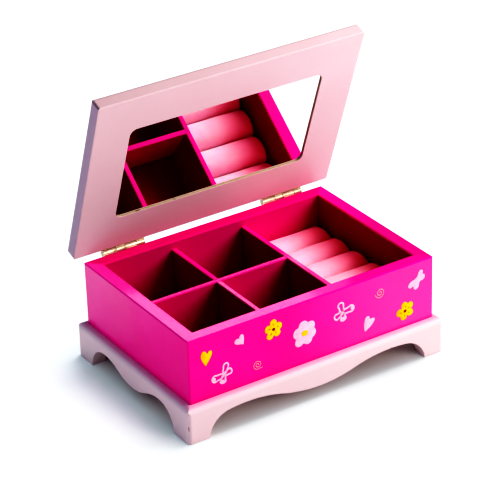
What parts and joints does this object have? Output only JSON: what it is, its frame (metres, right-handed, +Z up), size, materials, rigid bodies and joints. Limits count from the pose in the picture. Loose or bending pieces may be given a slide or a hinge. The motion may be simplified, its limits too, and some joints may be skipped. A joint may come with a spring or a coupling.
{
  "type": "jewelry box",
  "caption": "Painted wooden jewelry box on a scalloped base, with dividers, ring rolls and a hinged lid with an inside mirror.",
  "frame": {"origin": "middle of the bounding box's bottom face with the lid open, on the surface the box stands on; the middle of the base is 2.53 mm in front of it (-Y)", "axes": "+X to the right, +Y to the hinged back, +Z up; the front is -Y"},
  "size_m": [0.192, 0.137, 0.1922],
  "materials": {
    "case_paint": "hot pink satin lacquer on board",
    "inside_paint": "hot pink satin lacquer on thin board",
    "base_paint": "pale pink satin lacquer",
    "lid_paint": "pale pink satin lacquer",
    "raw_wood": "bare sawn wood",
    "card": "plain grey-brown card",
    "roll_cloth": "pale pink short-pile velvet",
    "hinge_brass": "brass-plated, lightly tarnished",
    "screw_brass": "brass-plated",
    "motif_pink": "raised pale pink paint, printed on the case's front",
    "motif_yellow": "raised yellow paint, printed on the case's front",
    "motif_line": "fine orange and brown paint lines, printed on the case's front",
    "mirror": "silvered float glass",
    "tape": "white foam tape"
  },
  "bodies": {
    "case": {"base_front_apron": "base_paint", "base_back_apron": "base_paint", "base_left_apron": "base_paint", "base_right_apron": "base_paint", "base_corner_blocks": "raw_wood", "case_front_wall": "case_paint", "case_back_wall": "case_paint", "case_left_wall": "case_paint", "case_right_wall": "case_paint", "bottom_panel": "inside_paint", "divider_main": "inside_paint", "divider_left": "inside_paint", "divider_cross": "inside_paint", "ring_roll_card": "card", "ring_roll_1": "roll_cloth", "ring_roll_2": "roll_cloth", "ring_roll_3": "roll_cloth", "ring_roll_4": "roll_cloth", "ring_roll_5": "roll_cloth", "hinge_case_leaf_left": "hinge_brass", "hinge_case_leaf_right": "hinge_brass", "hinge_pin_left": "hinge_brass", "hinge_pin_right": "hinge_brass", "hinge_case_screws": "screw_brass"},
    "lid": {"lid_panel": "lid_paint", "mirror_glass": "mirror", "mirror_tape": "tape", "hinge_lid_leaf_left": "hinge_brass", "hinge_lid_leaf_right": "hinge_brass", "hinge_lid_screws": "screw_brass"}
  },
  "joints": [
    {"name": "lid_hinge", "type": "hinge", "parent": "case", "child": "lid", "pos_m": [0, 0.06107, 0.0672], "axis": [-1, 0, 0], "range_deg": [-69.5, 30.5]}
  ]
}
